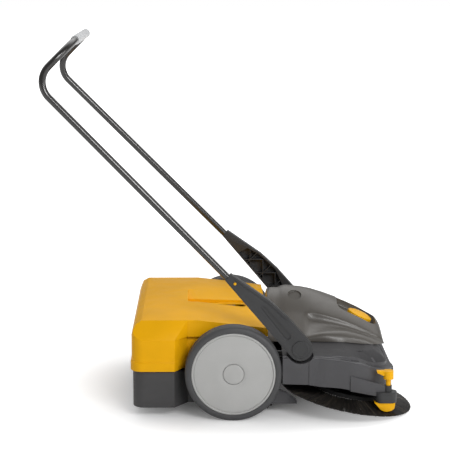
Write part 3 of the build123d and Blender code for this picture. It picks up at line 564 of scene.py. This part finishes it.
def housing_section(x, nx):
    """Section of the housing at a station: (inset, height) from the deck round to its underside."""
    step, foot, edge, rim = step_z(x), foot_z(x), edge_inset(x), edge_z(x)
    low = panel_inset(x)
    inner = deck_z(x - nx * RING_REACH)
    near = deck_z(x - nx * (edge + 22))
    return [
        (RING_REACH, inner), (edge + 40, (inner + near) / 2), (edge + 14, (near * 0.45 + rim * 0.55) + 0.8),
        (edge + 4, rim + 0.8), (edge + 1.2, rim), (edge, rim - 1.6), (edge - 0.3, (rim + step) / 2 + 1.5),
        (edge - 0.6, step + 3.4), (edge * 0.82, step + 1.6), (edge * 0.5 + low * 0.5 + 1.4, step + 1.0),
        (2.6 + low, step + 0.3), (0.9 + low, step - 0.6), (0.2 + low, step - 2.4), (low, step - 6),
        (low, (step + foot) / 2), (low, foot + 4), (low + 0.4, foot + 0.8), (low + 1.4, foot),
        (low + 3.0, foot), (low + 3.2, foot + 2), (low + 3.4, step - 7), (edge + 3, step - 3),
        (edge + 4.5, rim - 5), (edge + 30, near - 5), (RING_REACH, inner - 3.4),
    ]


def pocket_outline(extra):
    """Outline of the arm's pocket in X and Z: round below the pivot, open above and behind."""
    reach = PIVOT_POCKET + extra
    points = [(pivot.x + reach, 300)]
    points += arc((pivot.x, pivot.z), reach, 0, -135, 20)
    points += [(80 - extra, pivot.z + 66), (80 - extra, 300)]
    return points


def make_base():
    """The base housing with its brush guards."""
    rows = []
    for x, y, nx, ny in plan_stations():
        row = []
        for inset, z in housing_section(x, nx):
            lean = 0.2 * (z - 140) if 225 < x < 275 and z < step_z(x) else 0.0
            row.append((x + lean - nx * inset, y - ny * inset, z))
        rows.append(row)
    base = grid_surface("base_housing_moulding", rows, closed=True)
    work = bmesh.new()
    work.from_mesh(base.data)
    work.verts.ensure_lookup_table()
    width = len(rows[0])
    last = len(rows) - 1
    work.faces.new([work.verts[i] for i in range(width)])
    work.faces.new([work.verts[last * width + i] for i in reversed(range(width))])
    work.to_mesh(base.data)
    work.free()
    outward(base)
    pieces = [base]
    for side, sign in SIDES:
        void = [(x, sign * POCKET_FLOOR, z) for x, z in pocket_outline(0)]
        combine(base, prism("cutter", void, (0, sign * 60, 0)), "DIFFERENCE")
    for side, sign in SIDES:
        shell = prism("liner", [(x, sign * 290.6, z) for x, z in pocket_outline(2.6)], (0, sign * 38.6, 0))
        void = [(x, sign * POCKET_FLOOR, z) for x, z in pocket_outline(0)]
        combine(shell, prism("cutter", void, (0, sign * 60, 0)), "DIFFERENCE")
        planed(shell, ((0, 0, 184.6), (0, 0, 1)), ((143.4, 0, 0), (-1, 0, 0)))
        pieces.append(shell)
        # Ear that carries the pivot pin
        outline = arc((pivot.x, pivot.z), 24, 0, 180, 28) + [(pivot.x - 24, 162), (pivot.x + 24, 162)]
        ear = prism("ear", [(x, sign * 287.6, z) for x, z in outline], (0, sign * 5.8, 0))
        pieces.append(rounded(ear, 1.0))
    base = joined("base_housing_moulding", pieces)
    settle(smooth(base, 24), "chassis", "dark_plastic", DARK, "base_housing")
    # Up-facing faces above the step get the darker deck colour, painted shade.
    two_tone(base, SHELF_PAINTED_SHADE, lambda c, n: n.z > 0.6 and c.z > step_z(c.x) + 1.2)

    # Level panel of the housing between and under the hood's feet, in the same darker deck colour, painted shade
    low = 0.3
    profile = [(144, 187), (317, 187), (370, 177), (389, deck_z(389))]
    side = [(x, z - low) for x, z in profile] + [(x, z - low - 2.6) for x, z in reversed(profile)]
    deck = prism("base_deck", [(x, -261, z) for x, z in side], (0, 522, 0))
    plan = [(140, -264), (140, 264)] + arc((323, 197), 66, 90, 0, 10) + arc((323, -197), 66, 0, -90, 10)
    combine(deck, prism("cutter", [(x, y, 150) for x, y in plan], (0, 0, 60)), "INTERSECT")
    settle(rounded(deck, 0.6), "chassis", "dark_plastic", SHELF_PAINTED_SHADE, "base_housing")


# --- Hood --------------------------------------------------------------------------------------
# Character lines of the right half, from the crest out to the seam on the housing's deck
HOOD_LINES = [
    [(112, 0, 303), (150, 0, 310), (165, 0, 311), (210, 0, 307), (240, 0, 300.5), (284, 0, 285),
     (344, 0, 260),
     (399, 0, 232), (429, 0, 213), (440, 0, 203.5), (447, 0, 193)],
    [(112, -26, 299), (165, -26, 307.5), (210, -26, 303), (240, -27, 297), (284, -32, 282.5),
     (344, -40, 257.5),
     (399, -42, 230), (429, -40, 211.5), (440, -38, 202), (447, -34, 191.5)],
    [(112, -50, 287), (165, -50, 295), (210, -50, 291.5), (240, -53, 287), (284, -60, 273), (344, -74, 247.5),
     (399, -74, 220.5), (429, -68, 203), (440, -64, 194), (447, -60, 184)],
    [(112, -76, 267), (165, -76, 274), (210, -77, 272), (240, -81, 270.5), (284, -87, 260), (344, -95, 238),
     (399, -95, 212), (429, -89, 195), (440, -85, 186.5), (447, -78, 177)],
    [(112, -99, 249), (165, -99, 254), (210, -98, 254.5), (222, -100, 255.5), (240, -103, 254),
     (284, -108, 246),
     (344, -111, 226.5), (399, -110, 201.5), (429, -105, 186), (440, -100, 178.5), (447, -92, 171.5)],
    [(112, -106, 244), (165, -106, 248.5), (210, -106, 249), (222, -104, 251), (240, -104, 249.5),
     (284, -109, 241.5), (344, -112, 222), (399, -111, 197.5), (429, -106, 182.5), (440, -101, 176),
     (447, -94, 170)],
    [(112, -138, 222), (205, -138, 227), (216, -132, 230), (228, -114, 229), (240, -112, 225),
     (284, -115, 219),
     (344, -118, 206), (399, -116, 187), (429, -109, 176), (440, -104, 171), (447, -97, 168)],
    [(112, -166, 204), (205, -167, 206), (216, -166, 207), (228, -160, 208), (240, -158, 210),
     (284, -158, 214),
     (331, -152, 213), (383, -141, 196.5), (420, -128, 180), (440, -116, 170.5), (447, -108, 167.2)],
    [(112, -173, 199), (205, -174, 200.5), (216, -174, 202), (240, -173, 208), (257, -173, 212.5),
     (284, -172, 214.5),
     (331, -165, 213), (383, -153, 196.5), (420, -139, 180), (440, -124, 170), (447, -116, 166.8)],
    [(112, -179, 193.5), (205, -180, 194.5), (225, -182, 199), (257, -184, 204), (284, -185, 206),
     (331, -180, 202.5),
     (383, -164, 188), (420, -149, 174.5), (440, -133, 167.8), (447, -124, 166.2)],
    [(112, -181.6, 188.6), (232, -184.2, 188.6), (300, -188.6, 188.8), (323, -187.4, 188.4),
     (378, -168.6, 177.4),
     (420, -152.8, 171.2), (440, -137.8, 167.9), (448, -127.8, 166.3)],
    [(112, -182, 187.6), (232, -184, 187.6), (300, -189, 187.6), (323, -188, 187), (378, -169, 176.2),
     (420, -153, 170.4), (440, -138, 167.4), (448, -128, 166)],
    [(112, -181, 186.9), (232, -183, 186.9), (300, -188, 186.9), (323, -187, 186.3), (378, -168, 175.4),
     (420, -152, 169.6), (440, -137, 166.8), (448, -127, 165.6)],
]
HOOD_STATIONS = (119, 127, 134, 140, 147, 155, 165, 180, 196, 208, 216, 222, 228, 234, 242, 256, 275, 300,
                 325,
                 350, 374, 396, 416, 430, 440, 446)
REAR_GROOVE = curve_of((112, 0), (124, 0), (136, 1), (146, 1), (156, 0), (450, 0))


def hood_row(x, ceiling=400.0, shift=0.0):
    """One cross-section of the hood's skin."""
    half = []
    for order, line in enumerate(HOOD_LINES):
        _, y, z = at(x, line)
        dip = 4.0 * REAR_GROOVE(x - 0.12 * order * order) * (1.0 if order < 7 else 0.0)
        half.append((x + shift, y, min(z - dip, ceiling)))
    half.append((x + shift, half[-1][1] + 6, half[-1][2]))
    half.append((x + shift, -80, half[-1][2]))
    return half[::-1] + [(a, -y, z) for a, y, z in half[1:]]


def make_hood():
    """The hood and the height dial in its recess."""
    rows = [hood_row(112, 188.4, -3.4), hood_row(112, 200.0, -3.8), hood_row(112, 262.0, -3.8)]
    rows += [hood_row(112, 292.0, -3.0), hood_row(114, 299.0, -0.6)]
    rows += [hood_row(x) for x in HOOD_STATIONS]
    rows += [[(x + 2.0, y, 165.6 + (z - 165.6) * 0.55) for x, y, z in hood_row(447)]]
    rows += [[(x + 1.6, y, 165.6 + (z - 165.6) * 0.1) for x, y, z in hood_row(447)]]
    hood = grid_surface("hood_moulding", rows, closed=True)
    work = bmesh.new()
    work.from_mesh(hood.data)
    work.verts.ensure_lookup_table()
    width = len(rows[0])
    last = (len(rows) - 1) * width
    for first in (0, last):
        half = width // 2
        for i in range(half - 1):
            j = width - 1 - i
            work.faces.new([work.verts[first + i], work.verts[first + i + 1], work.verts[first + j - 1],
                            work.verts[first + j]])
    bmesh.ops.recalc_face_normals(work, faces=work.faces)
    work.to_mesh(hood.data)
    work.free()
    apply(hood, "SUBSURF", levels=3)
    outward(hood)

    # Recess of the dial, cut along the dial's own axis; its cut faces take the dark brown, painted shade
    along = dial_axis
    over = Vector((0, 1, 0))
    forward = over.cross(along)
    centre = dial_origin + Vector((-18, 0, 8))

    def tub(half_width, half_length, corner, low, high, flare):
        rings = []
        for height, grow in ((low, -4.0), (low + 1.2, -1.6), (low + 4, 0.0), (high, flare)):
            outline = []
            for sx, sy, start in ((1, 1, 0), (-1, 1, 90), (-1, -1, 180), (1, -1, 270)):
                spot = (sx * (half_length - corner), sy * (half_width - corner))
                outline += arc(spot, corner + grow, start, start + 90, 12)
            rings.append([centre + forward * a + over * b + along * height for a, b in outline])
        count = len(rings[0])
        vertices = [v for ring in rings for v in ring]
        faces = [list(range(count)), [3 * count + i for i in reversed(range(count))]]
        for r in range(3):
            faces += [[r * count + i, r * count + (i + 1) % count, (r + 1) * count + (i + 1) % count,
                       (r + 1) * count + i] for i in range(count)]
        return outward(piece_from("cutter", vertices, faces))

    hood.data.materials.append(HOOD)
    cutter = tub(71, 64, 30, -6.0, 90, 5)
    cutter.data.materials.append(RECESS_PAINTED_SHADE)
    combine(hood, cutter, "DIFFERENCE")
    # Round blind dimple high on the right flank, square to the surface there
    spot = Vector((191, -49, 294.5))
    tilt = Vector((0, -math.sin(math.radians(37)), math.cos(math.radians(37))))
    hole = lathe("cutter", [(-9, 0), (-9, 18.2), (-8, 19.6), (-6.8, 20), (14, 20.4), (14, 0)], spot, tilt, 64)
    hole.data.materials.append(HOOD)
    combine(hood, hole, "DIFFERENCE")
    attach(hood, "chassis")
    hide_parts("hood")
    smooth(hood, 35)

    # Dial: a scalloped dome with a pointer notch at its front
    radius = 38.0
    dome = [(0.6, 0), (0.6, radius - 3), (2, radius - 0.6), (3.5, radius), (9.5, radius),
            (11.2, radius - 0.8),
            (12.4, radius - 3), (15.2, radius - 12), (17.0, radius - 24), (17.8, 6), (18, 0)]
    dial = lathe("dial_knob", dome, dial_origin, along, 96)
    stem = lathe("dial_stem", [(-24, 0), (-24, 5.9), (1.5, 5.9), (1.5, 0)], dial_origin, along, 32)
    scallops = 18
    scallop_ring = radius + 3.2
    for k in range(scallops):
        angle = 2 * math.pi * (k + 0.5) / scallops
        place = dial_origin + forward * math.cos(angle) * scallop_ring + over * math.sin(angle) * scallop_ring
        combine(dial, lathe("cutter", [(0, 0), (0, 4.2), (30, 4.2), (30, 0)], place, along, 20), "DIFFERENCE")
    notch = [(24, -6), (radius + 4, -9), (radius + 4, 9), (24, 6)]
    foot = [dial_origin + forward * a + over * b + along * 5 for a, b in notch]
    combine(dial, prism("cutter", foot, along * 20), "DIFFERENCE")
    dial = joined("dial_knob", [rounded(dial, 0.7, 30, 2), stem])
    settle(smooth(dial, 32), "dial", "yellow_plastic", TRIM, "height_dial")
    # A thin dark plate on the notch's floor, painted shade in the notch.
    inset = [(25, -5.6), (radius - 1.5, -7.6), (radius - 1.5, 7.6), (25, 5.6)]
    foot = [dial_origin + forward * a + over * b + along * 5.02 for a, b in inset]
    mark = prism("dial_notch_shade_plate", foot, along * 2.4)
    settle(smooth(rounded(mark, 0.5)), "dial", "yellow_plastic", RECESS_PAINTED_SHADE, "height_dial")


# --- Handle tube -------------------------------------------------------------------------------
def rounded_path(corners, radii, step=4.0):
    """Points of a line through corners with an arc of a given radius at each inner one."""
    points = [Vector(corners[0])]
    for index, radius in enumerate(radii, 1):
        here = Vector(corners[index])
        back = (Vector(corners[index - 1]) - here).normalized()
        ahead = (Vector(corners[index + 1]) - here).normalized()
        half = back.angle(ahead) / 2
        reach = radius / math.tan(half)
        centre = here + (back + ahead).normalized() * radius / math.sin(half)
        start = here + back * reach - centre
        end = here + ahead * reach - centre
        turn = start.angle(end)
        count = max(4, int(turn * radius / step))
        for i in range(count + 1):
            t = i / count
            spoke = (start * math.sin((1 - t) * turn) + end * math.sin(t * turn)) / math.sin(turn)
            points.append(centre + spoke)
    return points + [Vector(corners[-1])]


def swept(name, points, radius, sides=40):
    """Closed round bar along points, with no twist."""
    vertices, faces = [], []
    normal = None
    for index, point in enumerate(points):
        before = points[max(0, index - 1)]
        after = points[min(len(points) - 1, index + 1)]
        tangent = (after - before).normalized()
        if normal is None:
            normal = across(tangent)[1]
        normal = (normal - tangent * normal.dot(tangent)).normalized()
        side = tangent.cross(normal)
        for k in range(sides):
            angle = 2 * math.pi * k / sides
            vertices.append(point + (normal * math.cos(angle) + side * math.sin(angle)) * radius)
    for r in range(len(points) - 1):
        for c in range(sides):
            after = (c + 1) % sides
            faces.append([r * sides + c, r * sides + after, (r + 1) * sides + after, (r + 1) * sides + c])
    faces.append(list(range(sides)))
    faces.append([(len(points) - 1) * sides + c for c in range(sides)])
    return outward(piece_from(name, vertices, faces))


def make_tube():
    """The bent tube from arm to arm, round the crossbar."""
    socket, bend, crossbar = Vector((-8.5, 309, 404)), Vector((-533.4, 275, 939)), Vector((-427.5, 262, 1045))
    start = socket + (socket - bend).normalized() * 45
    half = [start, bend, crossbar]
    left = [(p.x, p.y, p.z) for p in half]
    right = [(p.x, -p.y, p.z) for p in half]
    tube = swept("handle_bar", rounded_path(right + left[::-1], [60, 88, 88, 60]), 10)
    settle(smooth(tube, 40), "handle", "tube_paint", TUBE, "handle_tube")


# --- Disc brushes and dust roller --------------------------------------------------------------
def strands(name, lines, radius):
    """Many thin three-sided strands in one mesh, each along its own short line of points."""
    vertices, faces = [], []
    for line in lines:
        _, first, second = across(line[-1] - line[0])
        base = len(vertices)
        for index, point in enumerate(line):
            size = radius * (1 - 0.25 * index / (len(line) - 1))
            for k in range(3):
                angle = 2 * math.pi * k / 3
                vertices.append(point + (first * math.cos(angle) + second * math.sin(angle)) * size)
        for r in range(len(line) - 1):
            for c in range(3):
                after = (c + 1) % 3
                faces.append([base + 3 * r + c, base + 3 * r + after, base + 3 * r + 3 + after,
                              base + 3 * r + 3 + c])
        faces.append([base, base + 2, base + 1])
        top = base + 3 * (len(line) - 1)
        faces.append([top, top + 1, top + 2])
    return piece_from(name, vertices, faces)


BRUSH_TIP = 191.5
BRUSH_ROOTS = (99.0, 105.0, 111.0)
TUFTS = 84
STRANDS_PER_TUFT = 26
BRUSH_STRAND = 0.6
ROLLER_ROWS = 22
ROLLER_STEPS = 150
ROLLER_ROOT = 29
ROLLER_STRAND = 0.7


def make_brushes():
    """Both disc brushes with their plates and tuft roots, and the dust roller's bristles."""
    for side, sign in SIDES:
        rng = random.Random(41 if sign < 0 else 43)
        along, first, second = across(spindle_axis)
        centre = Vector((330.6, sign * 193.0, BRUSH_TIP * abs(spindle_axis.x) + 0.5))

        def place(radius, angle, height):
            return centre + along * height + (first * math.cos(angle) + second * math.sin(angle)) * radius

        lines = []
        pale = []
        for ring, root in enumerate(BRUSH_ROOTS):
            for tuft in range(TUFTS):
                hub = 2 * math.pi * (tuft + ring / 3) / TUFTS
                lean = rng.gauss(0, 0.012)
                lift = rng.random()
                for strand in range(STRANDS_PER_TUFT):
                    spot = rng.gauss(0, 0.012)
                    fan = rng.gauss(0, 0.042)
                    reach = BRUSH_TIP - 0.6 - abs(rng.gauss(0, 4.6)) * (0.5 + lift)
                    start_h = rng.uniform(11.0, 15.6)
                    end_h = 0.6 + 3.4 * min(1.0, max(0.0, 0.5 * lift + rng.gauss(0.25, 0.22)))
                    line = []
                    for t in (0.0, 0.25, 0.5, 0.75, 1.0):
                        radius = root + rng.uniform(-1, 1) * (1 - t) + (reach - root) * t
                        angle = hub + spot + (lean + fan) * t ** 1.2
                        height = start_h + (end_h - start_h) * t ** 0.9
                        line.append(place(radius, angle, height))
                    (pale if strand % 9 == 4 else lines).append(line)
        piece = strands(f"{side}_brush_strands", lines, BRUSH_STRAND)
        settle(piece, f"{side}_brush", "bristle", BRISTLE, f"{side}_brush_bristles")
        piece = strands(f"{side}_worn_strands", pale, BRUSH_STRAND)
        settle(piece, f"{side}_brush", "bristle", PALE_BRISTLE, f"{side}_brush_bristles")

        plate = refined(f"{side}_brush_plate", f"{side}_plate_moulding", 1.2)
        settle(smooth(plate, 30), f"{side}_brush", "dark_plastic", PLATE, f"{side}_brush_plate")
        pegs = []
        for tuft in range(TUFTS):
            angle = 2 * math.pi * tuft / TUFTS
            corners = []
            for height in (18.4, 25.6):
                for radius, turn in ((112.6, -0.011), (113.95, -0.010), (113.95, 0.010), (112.6, 0.011)):
                    corners.append(place(radius, angle + turn, height))
            pegs.append(prism("peg", corners[:4], corners[4] - corners[0]))
        peg = joined(f"{side}_tuft_roots", pegs)
        settle(smooth(peg), f"{side}_brush", "dark_plastic", TUFT, f"{side}_brush_plate")

    rng = random.Random(47)
    low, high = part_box("dust_roller_bristles")
    centre = (low + high) / 2 / MM
    radius = (high.z - low.z) / 2 / MM
    half = (high.y - low.y) / 2 / MM
    lines = []
    for row in range(ROLLER_ROWS):
        for step in range(ROLLER_STEPS):
            y = -half + 2 + (2 * half - 4) * step / (ROLLER_STEPS - 1)
            turn = 2 * math.pi * row / ROLLER_ROWS + y * 0.006
            for _ in range(2):
                a = turn + rng.gauss(0, 0.03)
                b = a + rng.gauss(0, 0.05)
                y1 = min(half - 1, max(1 - half, y + rng.gauss(0, 1.0)))
                y2 = min(half - 1, max(1 - half, y1 + rng.gauss(0, 1.4)))
                tip = radius - 0.9 - 1.4 * rng.random()
                lines.append([
                    centre + Vector((ROLLER_ROOT * math.cos(a), y1, ROLLER_ROOT * math.sin(a))),
                    centre + Vector((tip * math.cos(b), y2, tip * math.sin(b))),
                ])
    piece = strands("dust_roller_strands", lines, ROLLER_STRAND)
    settle(piece, "dust_roller", "bristle", BRISTLE, "dust_roller_bristles")


# --- Edge presser ------------------------------------------------------------------------------
def make_presser():
    """The edge presser: wing knob, shoe and bracket."""
    knob = refined("presser_knob", "presser_wing", 2.2, 30, 4)
    settle(smooth(knob, 30), "edge_presser", "yellow_plastic", TRIM, "presser_knob")
    shoe = refined("presser_shoe", "presser_foot", 1.6, 30)
    settle(smooth(shoe, 30), "edge_presser", "yellow_plastic", TRIM, "presser_shoe")
    bracket = refined("presser_bracket", "presser_holder", 1.4, 30)
    settle(smooth(bracket, 30), "chassis", "dark_plastic", DARK, "presser_bracket")
    two_tone(bracket, ARM, lambda c, n: c.x > presser_axis.x - 37 and c.z < 84.5 or c.x > presser_axis.x - 11)


make_wheels()
make_handle()
make_tube()
make_hopper()
make_base()
make_hood()
make_brushes()
make_presser()
dress_cad_nodes()


# --- Floor, light and camera -------------------------------------------------------------------
FLOOR_LIFT = 0.62
FLOOR_REACH = 30000


def ramp(nodes, links, source, low, high, bottom, top):
    """A value that runs from bottom to top while source runs from low to high."""
    node = nodes.new("ShaderNodeMapRange")
    node.inputs["From Min"].default_value = low
    node.inputs["From Max"].default_value = high
    node.inputs["To Min"].default_value = bottom
    node.inputs["To Max"].default_value = top
    links.new(source, node.inputs["Value"])
    return node.outputs["Result"]


def make_floor():
    """Pale floor that turns evenly white away from the object, like a lit studio sweep, and is held darker close
    round the object as painted shade.
    """
    corners = [(x * FLOOR_REACH, y * FLOOR_REACH, 0) for x, y in ((-1, -1), (1, -1), (1, 1), (-1, 1))]
    floor = piece_from("floor", corners, [[0, 1, 2, 3]])
    material, nodes, links, shader = new_material("floor")
    cloud = noise(nodes, links, 1.5, 3.0)
    links.new(tinted(nodes, links, cloud, (0.90, 0.90, 0.90), (0.92, 0.92, 0.92)),
              shader.inputs["Base Color"])
    shader.inputs["Roughness"].default_value = 0.7
    place = nodes.new("ShaderNodeTexCoord")
    length = nodes.new("ShaderNodeVectorMath")
    length.operation = "LENGTH"
    links.new(place.outputs["Object"], length.inputs[0])
    reach = ramp(nodes, links, length.outputs["Value"], 0.7, 2.4, 0.0, 1.0)
    glow = nodes.new("ShaderNodeEmission")
    mix = nodes.new("ShaderNodeMixShader")
    links.new(reach, mix.inputs["Fac"])
    links.new(shader.outputs["BSDF"], mix.inputs[1])
    links.new(glow.outputs["Emission"], mix.inputs[2])
    # Seen straight on, the floor is lifted to the backdrop's white, so only the shadows show
    rays = nodes.new("ShaderNodeLightPath")
    lift = nodes.new("ShaderNodeEmission")
    # Round the object the lift falls almost to nothing: painted shade under the machine.
    near = ramp(nodes, links, length.outputs["Value"], 0.22, 0.62, 0.06, FLOOR_LIFT)
    links.new(near, lift.inputs["Strength"])
    both = nodes.new("ShaderNodeAddShader")
    seen = nodes.new("ShaderNodeMixShader")
    links.new(mix.outputs["Shader"], both.inputs[0])
    links.new(lift.outputs["Emission"], both.inputs[1])
    links.new(rays.outputs["Is Camera Ray"], seen.inputs["Fac"])
    links.new(mix.outputs["Shader"], seen.inputs[1])
    links.new(both.outputs["Shader"], seen.inputs[2])
    links.new(seen.outputs["Shader"], nodes["Material Output"].inputs["Surface"])
    floor.data.materials.append(material)


def area_light(name, place, aim, size, power, colour=(1, 1, 1)):
    """A soft rectangular lamp aimed at a point."""
    light = bpy.data.lights.new(name, "AREA")
    light.shape = "RECTANGLE"
    light.size, light.size_y = size
    light.energy = power
    light.color = colour
    lamp = bpy.data.objects.new(name, light)
    lamp.location = place
    lamp.rotation_euler = (Vector(aim) - Vector(place)).to_track_quat("-Z", "Y").to_euler()
    bpy.context.scene.collection.objects.link(lamp)
    return lamp


make_floor()
area_light("key", (1.5, -3.2, 2.3), (0, 0, 0.3), (1.8, 1.0), 70)
area_light("top", (0.2, 1.2, 3.0), (0, 0, 0.2), (2.4, 1.6), 8)
area_light("front", (3.0, -1.7, 1.5), (0.2, 0, 0.3), (0.8, 1.4), 20)
world = bpy.data.worlds.new("studio")
world.use_nodes = True
sky = world.node_tree.nodes
links = world.node_tree.links
# A large soft panel hangs high on the far side; the rest of the room is dimmer
place = sky.new("ShaderNodeTexCoord")
parts = sky.new("ShaderNodeSeparateXYZ")
links.new(place.outputs["Generated"], parts.inputs["Vector"])
panel = sky.new("ShaderNodeMath")
panel.operation = "MULTIPLY"
links.new(ramp(sky, links, parts.outputs["Y"], -0.1, 0.4, 0.0, 1.0), panel.inputs[0])
links.new(ramp(sky, links, parts.outputs["Z"], 0.25, 0.6, 0.0, 1.0), panel.inputs[1])
background = sky["Background"]
background.inputs["Color"].default_value = (1, 1, 1, 1)
links.new(ramp(sky, links, panel.outputs["Value"], 0.0, 1.0, 0.24, 1.35), background.inputs["Strength"])
backdrop = sky.new("ShaderNodeBackground")
backdrop.inputs["Color"].default_value = (1, 1, 1, 1)
backdrop.inputs["Strength"].default_value = 1.0
rays = sky.new("ShaderNodeLightPath")
choice = sky.new("ShaderNodeMixShader")
links.new(rays.outputs["Is Camera Ray"], choice.inputs["Fac"])
links.new(background.outputs["Background"], choice.inputs[1])
links.new(backdrop.outputs["Background"], choice.inputs[2])
links.new(choice.outputs["Shader"], sky["World Output"].inputs["Surface"])
bpy.context.scene.world = world
bpy.context.scene.view_settings.view_transform = "Standard"

camera_data = bpy.data.cameras.new("camera")
camera_data.lens = 113.6
camera_data.sensor_width = 36
camera = bpy.data.objects.new("camera", camera_data)
camera.location = (-0.0618, -4.1113, 1.2817)
camera.rotation_euler = (math.radians(90 - 10.86), 0, math.radians(-0.68))
bpy.context.scene.collection.objects.link(camera)
bpy.context.scene.camera = camera
